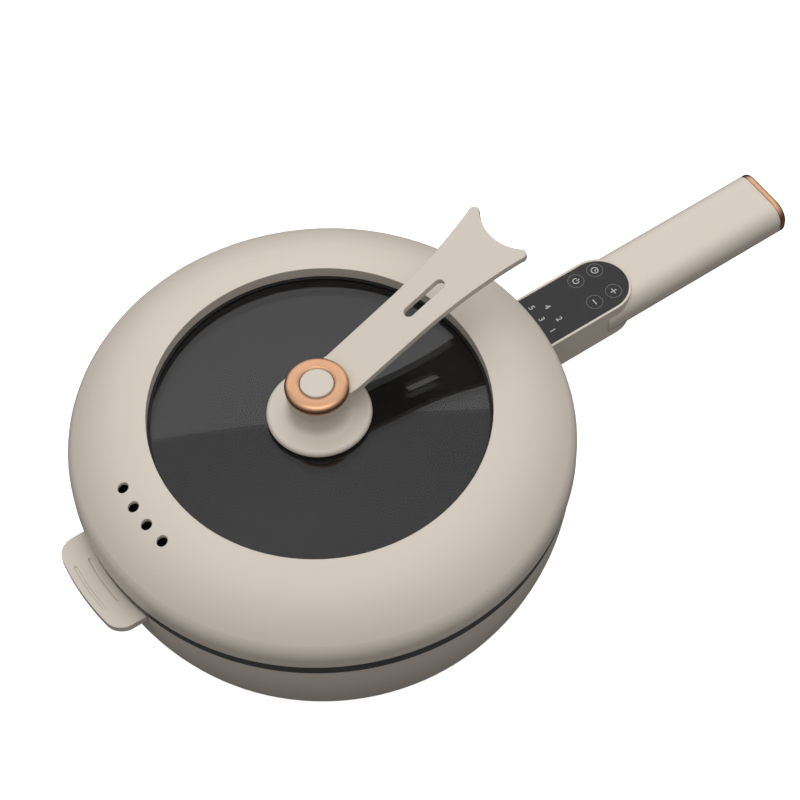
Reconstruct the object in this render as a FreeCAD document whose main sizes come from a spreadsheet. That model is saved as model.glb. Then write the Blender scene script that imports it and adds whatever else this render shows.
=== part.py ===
"""Electric wok with a lift-off glass lid, a control handle and a helper ear.

Millimetres. The origin is on the pan's axis at the table, +Z is up and +X runs along the handle.
Every sub-part is bound to the sheet of sizes, and heights are measured from the table.
"""

import FreeCAD, Part
import math
import os
import Sketcher

document = FreeCAD.newDocument("ElectricWok")

# Driving sizes in millimetres, degrees or counts
SIZES = {
    # levels above the table
    "lid_seat_level": 98.0,
    "seam_depth": 10.6,
    "seat_gap": 0.3,
    # outer shell
    "shell_set_in": 0.6,
    "shell_knee_inset": 10.6,
    "shell_knee_level": 32.5,
    "shell_side_curve": 150.0,
    "shell_foot_curve": 70.0,
    "shell_foot_inset": 19.4,
    "shell_base_level": 5.0,
    "shell_wall": 2.6,
    "shell_ledge_width": 6.4,
    "shell_ledge_depth": 3.0,
    "shell_flange_width": 11.0,
    "shell_flange_depth": 3.0,
    "shell_boss_radius": 4.6,
    "shell_boss_rise": 9.0,
    # pan
    "pan_floor_radius": 91.0,
    "pan_floor_level": 28.0,
    "pan_opening_radius": 138.0,
    "pan_wall": 2.2,
    "pan_rim_reach": 10.6,
    "pan_rim_corner": 2.6,
    "pan_rim_drop": 9.0,
    "pan_stud_radius": 4.5,
    "pan_stud_offset": 3.0,
    "pan_stud_depth": 13.0,
    "seal_inset": 0.6,
    "seal_lip_inset": 0.6,
    "seal_lip_height": 0.8,
    # heater under the pan
    "spreader_inset": 7.0,
    "spreader_height": 3.0,
    "spreader_hole_radius": 9.0,
    "heater_inset": 16.0,
    "heater_tube_radius": 4.0,
    "heater_gap_angle": 36.0,
    "heater_end_drop": 5.0,
    "terminal_radius": 1.6,
    "terminal_length": 2.4,
    "sensor_radius": 7.0,
    "sensor_height": 9.0,
    "sensor_flange_radius": 8.5,
    "sensor_flange_height": 1.2,
    "thermostat_radius": 8.0,
    "thermostat_height": 6.5,
    "thermostat_offset": 34.0,
    "thermostat_ear": 12.0,
    "fuse_radius": 2.0,
    "fuse_length": 22.0,
    "fuse_offset": 30.0,
    "strap_width": 19.0,
    "strap_thickness": 1.0,
    "strap_reach": 24.0,
    # heat shield and underside
    "shield_overhang": 2.0,
    "shield_rim_rise": 4.0,
    "shield_thickness": 0.8,
    "shield_level": 10.0,
    "shield_screw_inset": 34.0,
    "shield_boss_radius": 4.2,
    "cover_inset": 2.0,
    "cover_thickness": 2.5,
    "cover_vent_count": 18,
    "cover_vent_length": 22.0,
    "cover_vent_inset": 15.5,
    "cover_vent_half_width": 1.5,
    "cover_boss_radius": 5.0,
    "foot_ring_width": 6.5,
    "foot_ring_inset": 10.0,
    "foot_ring_seat": 0.8,
    "bottom_screw_inset": 4.6,
    "bottom_screw_count": 4,
    "bottom_screw_angle": 45.0,
    "pan_screw_count": 3,
    "pan_screw_angle": 60.0,
    "shield_screw_count": 3,
    "shield_screw_angle": 0.0,
    # fasteners
    "screw_shank_radius": 1.5,
    "screw_head_radius": 2.9,
    "screw_head_height": 1.8,
    "screw_hole_clearance": 0.15,
    "seam_slack": 1.0,
    "bolt_shank_radius": 2.0,
    "bolt_head_radius": 3.6,
    "bolt_head_height": 2.6,
    # power inlet under the handle
    "inlet_block_proud": 2.0,
    "inlet_block_level": 18.0,
    "inlet_block_top": 46.0,
    "inlet_block_half_width": 17.5,
    "inlet_level": 31.5,
    "inlet_half_width": 13.6,
    "inlet_half_height": 9.4,
    "inlet_depth": 18.0,
    "inlet_wall": 2.0,
    "inlet_back": 3.0,
    "inlet_corner": 3.0,
    "inlet_pin_radius": 2.0,
    "inlet_pin_spread": 7.0,
    "inlet_pin_rise": 4.0,
    # handle
    "handle_root_offset": 4.0,
    "handle_saddle_curve": 14.0,
    "handle_bottom_level": 68.0,
    "handle_box_top": 94.0,
    "handle_box_half_width": 20.4,
    "handle_box_length": 71.2,
    "handle_root_wall": 3.0,
    "handle_box_floor": 2.4,
    "grip_overlap": 27.2,
    "handle_length": 177.2,
    "grip_half_width": 21.5,
    "grip_top_level": 92.6,
    "grip_corner": 10.5,
    "grip_wall": 2.8,
    "cap_length": 4.5,
    "cap_edge": 1.2,
    "cap_spigot": 9.0,
    "panel_border": 1.5,
    "panel_thickness": 1.6,
    "panel_sink": 0.4,
    "panel_ledge": 1.4,
    "panel_start_border": 1.6,
    "part_clearance": 0.2,
    "cover_plate_offset": 7.0,
    "cover_plate_length": 47.0,
    "cover_plate_half_width": 15.5,
    "cover_plate_thickness": 2.4,
    "bracket_half_width": 15.0,
    "bracket_height": 12.0,
    "bracket_thickness": 2.0,
    "bolt_spread": 11.0,
    "bolt_level": 77.0,
    "wire_hole_radius": 4.0,
    # electronics in the control box
    "board_offset": 5.6,
    "board_length": 53.0,
    "board_half_width": 14.5,
    "board_thickness": 1.6,
    "control_board_drop": 4.8,
    "power_board_level": 72.6,
    "relay_length": 19.0,
    "relay_width": 15.0,
    "relay_height": 10.0,
    "buzzer_radius": 4.5,
    "buzzer_height": 5.0,
    "light_size": 3.2,
    "light_height": 2.0,
    "touch_pad_radius": 3.0,
    "key_row_offset": 42.0,
    "key_row_pitch": 12.4,
    "key_half_spread": 9.7,
    "light_row_offset": 8.3,
    "light_row_pitch": 8.4,
    "light_near_spread": 10.5,
    "light_far_spread": 5.7,
    "post_radius": 2.4,
    "post_step": 0.8,
    # helper ear
    "ear_thickness": 4.6,
    "ear_reach": 19.3,
    "ear_half_width": 35.0,
    "ear_corner": 12.0,
    "ear_groove_depth": 0.6,
    "ear_groove_width": 1.6,
    "ear_groove_near": 5.0,
    "ear_groove_far": 14.4,
    "ear_groove_half_length": 17.0,
    "ear_boss_radius": 4.4,
    "ear_boss_drop": 6.0,
    "ear_boss_reach": 12.0,
    "ear_boss_spread": 15.0,
    # lid rim
    "lid_overhang": 1.4,
    "lid_side_height": 7.5,
    "lid_shoulder": 14.0,
    "lid_height": 36.5,
    "lid_crown_width": 49.0,
    "lid_lip_depth": 8.0,
    "lid_wall": 2.6,
    "lid_boss_offset": 4.5,
    "lid_boss_radius": 3.6,
    "lid_screw_count": 6,
    "lid_screw_angle": 30.0,
    "vent_offset": 8.9,
    "vent_radius": 3.3,
    "vent_pitch_angle": 6.75,
    "vent_count": 4,
    "vent_angle": 180.0,
    # liner under the rim
    "liner_inset": 0.5,
    "liner_flat_margin": 3.9,
    "liner_skirt_clearance": 0.6,
    "liner_skirt_drop": 5.5,
    "liner_wall": 2.0,
    "liner_rim_gap": 0.5,
    # glass
    "glass_overlap": 8.0,
    "glass_band_inset": 3.0,
    "glass_thickness": 4.0,
    "glass_dome": 2.5,
    "glass_curve_gap": 0.1,
    "glass_hole_radius": 4.0,
    "glass_seal_inset": 1.8,
    "glass_seal_height": 1.0,
    # knob
    "washer_radius": 29.4,
    "washer_height": 1.0,
    "knob_disc_radius": 30.9,
    "knob_disc_height": 4.5,
    "knob_disc_edge": 2.8,
    "knob_neck_radius": 17.4,
    "knob_neck_curve": 5.0,
    "knob_neck_level": 52.0,
    "bolt_bore_radius": 3.15,
    "knob_bolt_radius": 3.0,
    "knob_bolt_head_radius": 6.0,
    "knob_bolt_head_height": 2.4,
    "knob_nut_radius": 5.6,
    "knob_nut_height": 3.0,
    "ring_radius": 18.9,
    "ring_height": 6.0,
    "ring_bevel": 2.6,
    "ring_edge": 1.0,
    "ring_floor": 1.6,
    "ring_bore": 10.1,
    "button_radius": 9.8,
    "button_proud": 0.6,
    "button_edge": 0.8,
    "button_height": 1.8,
    "lower_washer_radius": 13.0,
    "lower_washer_height": 1.0,
    "steel_cup_radius": 12.0,
    "steel_cup_height": 2.2,
    # stand arm
    "arm_turn_angle": 5.5,
    "arm_rise_angle": 14.8,
    "arm_thickness": 4.5,
    "arm_root_radius": 18.4,
    "arm_bend_start": 19.5,
    "arm_root_half_width": 14.6,
    "arm_waist_half_width": 15.0,
    "arm_waist_distance": 62.0,
    "arm_tip_distance": 144.2,
    "arm_tip_half_width": 23.2,
    "arm_tip_radius": 3.6,
    "arm_notch_curve": 31.4,
    "arm_notch_half_width": 20.0,
    "arm_flare_end": 138.6,
    "arm_side_curve": 350.0,
    "slot_start": 71.8,
    "slot_end": 95.2,
    "slot_half_width": 3.3,
}

sheet = document.addObject("Spreadsheet::Sheet", "Sizes")
for row, (alias, number) in enumerate(SIZES.items(), start=1):
    sheet.set(f"A{row}", alias.replace("_", " "))
    sheet.set(f"B{row}", str(number))
    sheet.setAlias(f"B{row}", alias)
document.recompute()


class Size:
    """A number together with the sheet expression that gives it."""

    def __init__(self, number, text):
        self.number = number
        self.text = text

    def __add__(self, other):
        return joined(self, "+", other)

    def __radd__(self, other):
        return joined(other, "+", self)

    def __sub__(self, other):
        return joined(self, "-", other)

    def __rsub__(self, other):
        return joined(other, "-", self)

    def __mul__(self, other):
        return joined(self, "*", other)

    def __rmul__(self, other):
        return joined(other, "*", self)

    def __truediv__(self, other):
        return joined(self, "/", other)

    def __neg__(self):
        return Size(-self.number, f"(-1 * {self.text})")


def as_size(value):
    if isinstance(value, Size):
        return value
    return Size(float(value), f"({float(value)})")


def joined(left, sign, right):
    left = as_size(left)
    right = as_size(right)
    number = {
        "+": lambda: left.number + right.number,
        "-": lambda: left.number - right.number,
        "*": lambda: left.number * right.number,
        "/": lambda: left.number / right.number,
    }[sign]()
    return Size(number, f"({left.text} {sign} {right.text})")


def root(value):
    return Size(math.sqrt(value.number), f"sqrt({value.text})")


def sine(angle):
    angle = as_size(angle)
    return Size(math.sin(math.radians(angle.number)), f"sin({angle.text} * 1 deg)")


def cosine(angle):
    angle = as_size(angle)
    return Size(math.cos(math.radians(angle.number)), f"cos({angle.text} * 1 deg)")


class SheetSizes:
    """Each alias of the sheet as an attribute."""


s = SheetSizes()
for alias, number in SIZES.items():
    setattr(s, alias, Size(float(sheet.get(alias)), f"Sizes.{alias}"))

ORIGIN = (-1, 1)


class Point:
    """A corner of an outline, reached by a line, or by an arc where a radius is given.

    A turn of 1 runs the arc counter-clockwise and -1 clockwise.
    """

    def __init__(self, x, y, radius=None, turn=1):
        self.x = as_size(x)
        self.y = as_size(y)
        self.radius = None if radius is None else as_size(radius)
        self.turn = turn

    def vector(self):
        return FreeCAD.Vector(self.x.number, self.y.number, 0)


def edge_between(start, end):
    """The line or arc that reaches the end corner, and its end codes in travel order."""
    a = start.vector()
    b = end.vector()
    if end.radius is None:
        return Part.LineSegment(a, b), (1, 2)
    radius = end.radius.number
    chord = b - a
    rise = math.sqrt(max(radius**2 - (chord.Length / 2) ** 2, 0))
    across = FreeCAD.Vector(-chord.y, chord.x, 0).normalize()
    centre = (a + b) / 2 + across * rise * end.turn
    codes = (1, 2) if end.turn > 0 else (2, 1)
    first, last = (a, b) if end.turn > 0 else (b, a)
    circle = Part.Circle(centre, FreeCAD.Vector(0, 0, 1), radius)
    return Part.ArcOfCircle(circle, circle.parameter(first), circle.parameter(last)), codes


def bind(sketch, constraint, size):
    index = sketch.addConstraint(constraint)
    sketch.setExpression(f"Constraints[{index}]", size.text)


def place_point(sketch, geometry, code, x, y):
    """Fix a point of the sketch by its two distances from the origin."""
    for kind, size, axis in (("DistanceX", x, -2), ("DistanceY", y, -1)):
        if abs(size.number) < 1e-9:
            sketch.addConstraint(Sketcher.Constraint("PointOnObject", geometry, code, axis))
        elif size.number > 0:
            measure = Sketcher.Constraint(kind, *ORIGIN, geometry, code, size.number)
            bind(sketch, measure, size)
        else:
            measure = Sketcher.Constraint(kind, geometry, code, *ORIGIN, -size.number)
            bind(sketch, measure, -size)


def draw(sketch, outline):
    """A closed outline through its corners."""
    count = len(outline)
    first = sketch.GeometryCount
    codes = []
    for index, start in enumerate(outline):
        edge, ends = edge_between(start, outline[(index + 1) % count])
        sketch.addGeometry(edge, False)
        codes.append(ends)
    for index in range(count):
        following = (index + 1) % count
        sketch.addConstraint(
            Sketcher.Constraint(
                "Coincident", first + index, codes[index][1], first + following, codes[following][0]
            )
        )
    for index, corner in enumerate(outline):
        place_point(sketch, first + index, codes[index][0], corner.x, corner.y)
        before = first + (index - 1) % count
        if corner.radius is not None:
            arc = Sketcher.Constraint("Radius", before, corner.radius.number)
            bind(sketch, arc, corner.radius)


def draw_circle(sketch, x, y, radius):
    x = as_size(x)
    y = as_size(y)
    centre = FreeCAD.Vector(x.number, y.number, 0)
    circle = sketch.addGeometry(Part.Circle(centre, FreeCAD.Vector(0, 0, 1), radius.number), False)
    place_point(sketch, circle, 3, x, y)
    bind(sketch, Sketcher.Constraint("Radius", circle, radius.number), radius)


def new_body(label):
    body = document.addObject("PartDesign::Body", "Body_" + label)
    body.Label = label
    return body


def new_sketch(body, role, offset=None):
    """A sketch on one of the body's own planes, moved along the plane's normal by the offset."""
    count = len(body.Group)
    sketch = body.newObject("Sketcher::SketchObject", f"{body.Label}_sketch_{count}")
    plane = next(item for item in body.Origin.OriginFeatures if item.Role == role)
    sketch.AttachmentSupport = (plane, [""])
    sketch.MapMode = "FlatFace"
    if offset is not None:
        offset = as_size(offset)
        sketch.AttachmentOffset = FreeCAD.Placement(
            FreeCAD.Vector(0, 0, offset.number), FreeCAD.Rotation()
        )
        sketch.setExpression("AttachmentOffset.Base.z", offset.text)
    return sketch


def fill(sketch, shapes):
    """Draw outlines, which are lists of corners, and circles, which are (x, y, radius)."""
    for shape in shapes:
        if isinstance(shape, list):
            draw(sketch, shape)
        else:
            draw_circle(sketch, *shape)


def pad(body, role, shapes, start, end):
    """Material between two distances along the plane's normal."""
    start = as_size(start)
    end = as_size(end)
    sketch = new_sketch(body, role, start)
    fill(sketch, shapes)
    feature = body.newObject("PartDesign::Pad", f"{body.Label}_pad_{len(body.Group)}")
    feature.Profile = sketch
    feature.Length = end.number - start.number
    feature.setExpression("Length", (end - start).text)
    return feature


def pocket(body, role, shapes, start, end):
    """A cut between two distances along the plane's normal, made from the far one back."""
    start = as_size(start)
    end = as_size(end)
    sketch = new_sketch(body, role, end)
    fill(sketch, shapes)
    feature = body.newObject("PartDesign::Pocket", f"{body.Label}_pocket_{len(body.Group)}")
    feature.Profile = sketch
    feature.Length = end.number - start.number
    feature.setExpression("Length", (end - start).text)
    return feature


def revolve(body, outline, angle=None):
    """Material turned about the vertical axis from an outline of radius and height."""
    sketch = new_sketch(body, "XZ_Plane")
    draw(sketch, outline)
    feature = body.newObject("PartDesign::Revolution", f"{body.Label}_turn_{len(body.Group)}")
    feature.Profile = sketch
    feature.ReferenceAxis = (sketch, ["V_Axis"])
    feature.Angle = 360.0
    if angle is not None:
        feature.Angle = angle.number
        feature.setExpression("Angle", angle.text)
    return feature


def repeat_round(body, feature, count):
    """Copies of a feature round the vertical axis."""
    pattern = body.newObject("PartDesign::PolarPattern", f"{body.Label}_pattern_{len(body.Group)}")
    pattern.Originals = [feature]
    pattern.Axis = (feature.Profile[0], ["N_Axis"])
    pattern.Angle = 360.0
    pattern.Occurrences = int(count.number)
    pattern.setExpression("Occurrences", count.text)
    body.Tip = pattern
    return pattern


def rectangle(left, low, right, high):
    return [Point(left, low), Point(right, low), Point(right, high), Point(left, high)]


def rounded_rectangle(left, low, right, high, corner):
    return [
        Point(left + corner, low, corner, 1),
        Point(right - corner, low),
        Point(right, low + corner, corner, 1),
        Point(right, high - corner),
        Point(right - corner, high, corner, 1),
        Point(left + corner, high),
        Point(left, high - corner, corner, 1),
        Point(left, low + corner),
    ]


def stadium(near, far, half_width):
    """A bar along +X, square at the near end and half round at the far end."""
    turn_centre = far - half_width
    return [
        Point(near, -half_width),
        Point(turn_centre, -half_width),
        Point(far, 0, half_width, 1),
        Point(turn_centre, half_width, half_width, 1),
        Point(near, half_width),
    ]


def long_slot(near, far, half_width):
    """A slot along +X, half round at both ends, between its two end centres."""
    return [
        Point(near, -half_width, half_width, 1),
        Point(far, -half_width),
        Point(far + half_width, 0, half_width, 1),
        Point(far, half_width, half_width, 1),
        Point(near, half_width),
        Point(near - half_width, 0, half_width, 1),
    ]


def on_circle(radius, offset):
    """The distance along X of the point of a circle that lies at the offset."""
    return root(radius * radius - offset * offset)


def ring_places(circle, count, first_angle):
    """Places spread evenly round the vertical axis, the first one at the angle."""
    places = []
    for index in range(int(count.number)):
        angle = first_angle + as_size(360 * index) / count
        places.append((circle * cosine(angle), circle * sine(angle)))
    return places


def at_level(places, level):
    """The same places as vectors at one height."""
    return [FreeCAD.Vector(x.number, y.number, level.number) for x, y in places]


def plain_group(label, solids):
    """Identical loose pieces under one name."""
    feature = document.addObject("Part::Feature", "Group_" + label)
    feature.Label = label
    feature.Shape = Part.makeCompound(solids)
    return feature


def screw(seat, direction, shank_radius, shank_length, head_radius, head_height):
    """A screw whose head bears at the seat and whose shank runs along the direction."""
    shank = Part.makeCylinder(shank_radius.number, shank_length.number, seat, direction)
    head = Part.makeCylinder(head_radius.number, head_height.number, seat, direction * -1)
    return shank.fuse(head).removeSplitter()


UP = FreeCAD.Vector(0, 0, 1)
OUTWARD = FreeCAD.Vector(1, 0, 0)

# Levels and radii that several pieces share
shell_top = s.lid_seat_level - s.seam_depth
pan_rim_radius = s.pan_opening_radius + s.pan_rim_reach
shell_top_radius = pan_rim_radius - s.shell_set_in
shell_knee_radius = shell_top_radius - s.shell_knee_inset
shell_base_radius = shell_knee_radius - s.shell_foot_inset
shell_ledge_radius = shell_top_radius - s.shell_ledge_width
shell_flange_radius = shell_base_radius - s.shell_flange_width
seal_inner_radius = shell_ledge_radius + s.seal_inset
seal_lip_radius = shell_top_radius - s.seal_lip_inset
spreader_radius = s.pan_floor_radius - s.spreader_inset
heater_circle = spreader_radius - s.heater_inset
pan_stud_circle = s.pan_floor_radius + s.pan_stud_offset
shield_radius = spreader_radius + s.shield_overhang
shield_screw_circle = shield_radius - s.shield_screw_inset
cover_radius = shell_base_radius - s.cover_inset
foot_ring_outer = cover_radius - s.foot_ring_inset
foot_ring_inner = foot_ring_outer - s.foot_ring_width
cover_vent_outer = foot_ring_inner - s.cover_vent_inset
cover_vent_inner = cover_vent_outer - s.cover_vent_length
bottom_screw_circle = cover_radius - s.bottom_screw_inset
inlet_block_reach = shell_top_radius + s.inlet_block_proud
handle_root = shell_top_radius + s.handle_root_offset
handle_box_end = handle_root + s.handle_box_length
grip_start = handle_box_end - s.grip_overlap
grip_end = handle_root + s.handle_length
panel_start = handle_root + s.panel_start_border
cover_plate_start = handle_root + s.cover_plate_offset
cover_plate_end = cover_plate_start + s.cover_plate_length
board_start = handle_root + s.board_offset
key_row_near = handle_root + s.key_row_offset
key_row_far = key_row_near + s.key_row_pitch
light_row_near = handle_root + s.light_row_offset
light_row_far = light_row_near + s.light_row_pitch
ear_top_level = shell_top
ear_outer_radius = shell_top_radius + s.ear_reach
ear_groove_inner = shell_top_radius + s.ear_groove_near
ear_groove_outer = shell_top_radius + s.ear_groove_far
lid_outer_radius = pan_rim_radius + s.lid_overhang
lid_opening_radius = lid_outer_radius - s.lid_crown_width
glass_radius = lid_opening_radius + s.glass_overlap
glass_band_radius = lid_opening_radius - s.glass_band_inset
glass_seal_inner = lid_opening_radius - s.glass_seal_inset
liner_inner_radius = lid_opening_radius - s.liner_inset
lid_boss_circle = glass_radius + s.lid_boss_offset
liner_flat_radius = lid_boss_circle + s.liner_flat_margin
vent_circle = lid_boss_circle + s.vent_offset
rim_seat = s.lid_seat_level - s.seat_gap
pan_underside = s.pan_floor_level - s.pan_wall
pan_outer = s.pan_opening_radius + s.pan_wall
heater_seat = pan_underside - s.spreader_height
cover_underside = s.shell_base_level - s.cover_thickness
saddle_top = shell_top
screw_hole = s.screw_shank_radius + s.screw_hole_clearance
bolt_hole = s.bolt_shank_radius + s.screw_hole_clearance


# Outer shell: a turned skirt with a ledge for the pan, the handle's saddle and the inlet's block
outer_shell = new_body("outer_shell")
shell_flange_top = s.shell_base_level + s.shell_flange_depth
revolve(
    outer_shell,
    [
        Point(shell_ledge_radius, shell_top),
        Point(shell_ledge_radius, shell_top - s.shell_ledge_depth),
        Point(shell_top_radius - s.shell_wall, shell_top - s.shell_ledge_depth),
        Point(shell_knee_radius - s.shell_wall, s.shell_knee_level, s.shell_side_curve, -1),
        Point(shell_base_radius, shell_flange_top, s.shell_foot_curve, -1),
        Point(shell_flange_radius, shell_flange_top),
        Point(shell_flange_radius, s.shell_base_level),
        Point(shell_base_radius, s.shell_base_level),
        Point(shell_knee_radius, s.shell_knee_level, s.shell_foot_curve, 1),
        Point(shell_top_radius, shell_top, s.shell_side_curve, 1),
    ],
)
saddle_foot_level = s.handle_bottom_level - s.handle_saddle_curve
saddle_heel = saddle_foot_level + on_circle(
    s.handle_saddle_curve, handle_root - shell_ledge_radius
)
pad(
    outer_shell,
    "XZ_Plane",
    [
        [
            Point(shell_ledge_radius, saddle_top),
            Point(shell_ledge_radius, saddle_heel),
            Point(handle_root, s.handle_bottom_level, s.handle_saddle_curve, -1),
            Point(handle_root, saddle_top),
        ]
    ],
    -s.handle_box_half_width,
    s.handle_box_half_width,
)
inlet_low = s.inlet_level - s.inlet_half_height
inlet_high = s.inlet_level + s.inlet_half_height
inlet_inner = inlet_block_reach - s.inlet_depth
pad(
    outer_shell,
    "YZ_Plane",
    [
        rectangle(
            -s.inlet_block_half_width,
            s.inlet_block_level,
            s.inlet_block_half_width,
            s.inlet_block_top,
        )
    ],
    inlet_inner + s.inlet_back,
    inlet_block_reach,
)
bottom_screw_places = ring_places(
    bottom_screw_circle, s.bottom_screw_count, s.bottom_screw_angle
)
pad(
    outer_shell,
    "XY_Plane",
    [(x, y, s.shell_boss_radius) for x, y in bottom_screw_places],
    s.shell_base_level,
    shell_flange_top + s.shell_boss_rise,
)
document.recompute()

# The cut-outs of the shell: saddle bolts, wire hole, inlet window and bottom screws
pocket(
    outer_shell,
    "YZ_Plane",
    [
        (-s.bolt_spread, s.bolt_level, bolt_hole),
        (s.bolt_spread, s.bolt_level, bolt_hole),
        (0, s.bolt_level, s.wire_hole_radius),
    ],
    shell_ledge_radius - s.pan_wall,
    handle_root,
)
bolt_seat = shell_ledge_radius + s.bolt_head_height + s.part_clearance
pocket(
    outer_shell,
    "YZ_Plane",
    [
        (side * s.bolt_spread, s.bolt_level, s.bolt_head_radius + s.part_clearance)
        for side in (-1, 1)
    ],
    shell_ledge_radius - s.pan_wall,
    bolt_seat,
)
pocket(
    outer_shell,
    "YZ_Plane",
    [
        rounded_rectangle(
            -s.inlet_half_width - s.part_clearance,
            inlet_low - s.part_clearance,
            s.inlet_half_width + s.part_clearance,
            inlet_high + s.part_clearance,
            s.inlet_corner,
        )
    ],
    inlet_inner - s.inlet_depth,
    inlet_block_reach,
)
pocket(
    outer_shell,
    "XY_Plane",
    [(x, y, screw_hole) for x, y in bottom_screw_places],
    s.shell_base_level,
    shell_flange_top + s.shell_boss_rise,
)
# Screw holes for the helper ear, bored through the wall along X
ear_underside = ear_top_level - s.ear_thickness
ear_screw_level = ear_underside - s.ear_boss_drop / 2
pocket(
    outer_shell,
    "YZ_Plane",
    [(side * s.ear_boss_spread, ear_screw_level, screw_hole) for side in (-1, 1)],
    -shell_top_radius,
    -s.pan_opening_radius,
)

# Pan: one turned wall with a rolled rim and three studs cast under the floor
pan = new_body("pan")
pan_side_curve = s.pan_opening_radius - s.pan_floor_radius
pan_side_level = s.pan_floor_level + pan_side_curve
rim_underside = rim_seat - s.pan_wall
revolve(
    pan,
    [
        Point(0, s.pan_floor_level),
        Point(0, pan_underside),
        Point(s.pan_floor_radius, pan_underside),
        Point(pan_outer, pan_side_level, pan_side_curve + s.pan_wall, 1),
        Point(pan_outer, rim_underside),
        Point(pan_rim_radius - s.pan_wall, rim_underside),
        Point(pan_rim_radius - s.pan_wall, rim_seat - s.pan_rim_drop),
        Point(pan_rim_radius, rim_seat - s.pan_rim_drop),
        Point(pan_rim_radius, rim_seat - s.pan_rim_corner),
        Point(pan_rim_radius - s.pan_rim_corner, rim_seat, s.pan_rim_corner, 1),
        Point(s.pan_opening_radius + s.pan_rim_corner, rim_seat),
        Point(s.pan_opening_radius, rim_seat - s.pan_rim_corner, s.pan_rim_corner, 1),
        Point(s.pan_opening_radius, pan_side_level),
        Point(s.pan_floor_radius, s.pan_floor_level, pan_side_curve, -1),
    ],
)
stud_foot = pan_underside - s.pan_stud_depth
pan_studs = ring_places(pan_stud_circle, s.pan_screw_count, s.pan_screw_angle)
pad(
    pan,
    "XY_Plane",
    [(x, y, s.pan_stud_radius) for x, y in pan_studs],
    stud_foot,
    s.pan_floor_level - s.pan_wall / 2,
)
pocket(
    pan,
    "XY_Plane",
    [(x, y, screw_hole) for x, y in pan_studs],
    stud_foot,
    pan_underside - s.pan_wall,
)

# Seal between the pan's rolled rim and the shell's ledge
pan_seal = new_body("pan_seal")
seal_outer = pan_rim_radius - s.pan_wall - s.part_clearance
revolve(
    pan_seal,
    [
        Point(seal_inner_radius, shell_top),
        Point(seal_lip_radius, shell_top),
        Point(seal_lip_radius, shell_top + s.seal_lip_height),
        Point(seal_outer, shell_top + s.seal_lip_height),
        Point(seal_outer, rim_underside),
        Point(seal_inner_radius, rim_underside),
    ],
)

# Aluminium spreader pressed to the pan's underside
heat_spreader = new_body("heat_spreader")
pad(
    heat_spreader,
    "XY_Plane",
    [(0, 0, spreader_radius), (0, 0, s.spreader_hole_radius)],
    heater_seat,
    pan_underside,
)

# Tubular heater: an open ring with two cold ends turned down
heating_element = new_body("heating_element")
heater_level = heater_seat - s.heater_tube_radius
heater_sketch = new_sketch(heating_element, "XZ_Plane")
draw_circle(heater_sketch, heater_circle, heater_level, s.heater_tube_radius)
heater_turn = heating_element.newObject("PartDesign::Revolution", "heating_element_turn")
heater_turn.Profile = heater_sketch
heater_turn.ReferenceAxis = (heater_sketch, ["V_Axis"])
heater_turn.setExpression("Angle", (360 - s.heater_gap_angle).text)
heater_ends = [
    (heater_circle, 0),
    (heater_circle * cosine(s.heater_gap_angle), -heater_circle * sine(s.heater_gap_angle)),
]
pad(
    heating_element,
    "XY_Plane",
    [(x, y, s.heater_tube_radius) for x, y in heater_ends],
    heater_level - s.heater_end_drop,
    heater_level,
)
heating_element.setExpression("Placement.Rotation.Angle", (s.heater_gap_angle / 2).text)

# Terminal pins in the heater's cold ends
heater_end_level = heater_level - s.heater_end_drop
terminal_pins = []
for side in (-1, 1):
    half_gap = math.radians(s.heater_gap_angle.number / 2) * side
    across = heater_circle.number * math.cos(half_gap)
    along = heater_circle.number * math.sin(half_gap)
    foot = FreeCAD.Vector(across, along, heater_end_level.number)
    pin = Part.makeCylinder(s.terminal_radius.number, s.terminal_length.number, foot, UP * -1)
    terminal_pins.append(pin)
heater_terminals = plain_group("heater_terminals", terminal_pins)

# Temperature sensor: a cup with a flange that touches the pan through the spreader's hole
temperature_sensor = new_body("temperature_sensor")
sensor_foot = pan_underside - s.sensor_height
sensor_flange_foot = heater_seat - s.sensor_flange_height - s.spreader_height
revolve(
    temperature_sensor,
    [
        Point(0, sensor_foot),
        Point(s.sensor_radius, sensor_foot),
        Point(s.sensor_radius, sensor_flange_foot),
        Point(s.sensor_flange_radius, sensor_flange_foot),
        Point(s.sensor_flange_radius, sensor_flange_foot + s.sensor_flange_height),
        Point(s.sensor_radius, sensor_flange_foot + s.sensor_flange_height),
        Point(s.sensor_radius, pan_underside),
        Point(0, pan_underside),
    ],
)

# Spring strap that holds the sensor up, bent down to the flange and fixed to the spreader
sensor_strap = new_body("sensor_strap")
strap_top = sensor_flange_foot
pad(
    sensor_strap,
    "XZ_Plane",
    [
        [
            Point(-s.strap_reach, heater_seat),
            Point(-s.strap_reach, heater_seat - s.strap_thickness),
            Point(-s.sensor_flange_radius - s.strap_thickness, heater_seat - s.strap_thickness),
            Point(-s.sensor_flange_radius - s.strap_thickness, strap_top - s.strap_thickness),
            Point(s.sensor_flange_radius + s.strap_thickness, strap_top - s.strap_thickness),
            Point(s.sensor_flange_radius + s.strap_thickness, heater_seat - s.strap_thickness),
            Point(s.strap_reach, heater_seat - s.strap_thickness),
            Point(s.strap_reach, heater_seat),
            Point(s.sensor_flange_radius + s.part_clearance, heater_seat),
            Point(s.sensor_flange_radius + s.part_clearance, strap_top),
            Point(-s.sensor_flange_radius - s.part_clearance, strap_top),
            Point(-s.sensor_flange_radius - s.part_clearance, heater_seat),
        ]
    ],
    -s.strap_width / 2,
    s.strap_width / 2,
)
pocket(
    sensor_strap,
    "XY_Plane",
    [(0, 0, s.sensor_radius + s.part_clearance)],
    strap_top - 2 * s.strap_thickness,
    strap_top,
)

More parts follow.
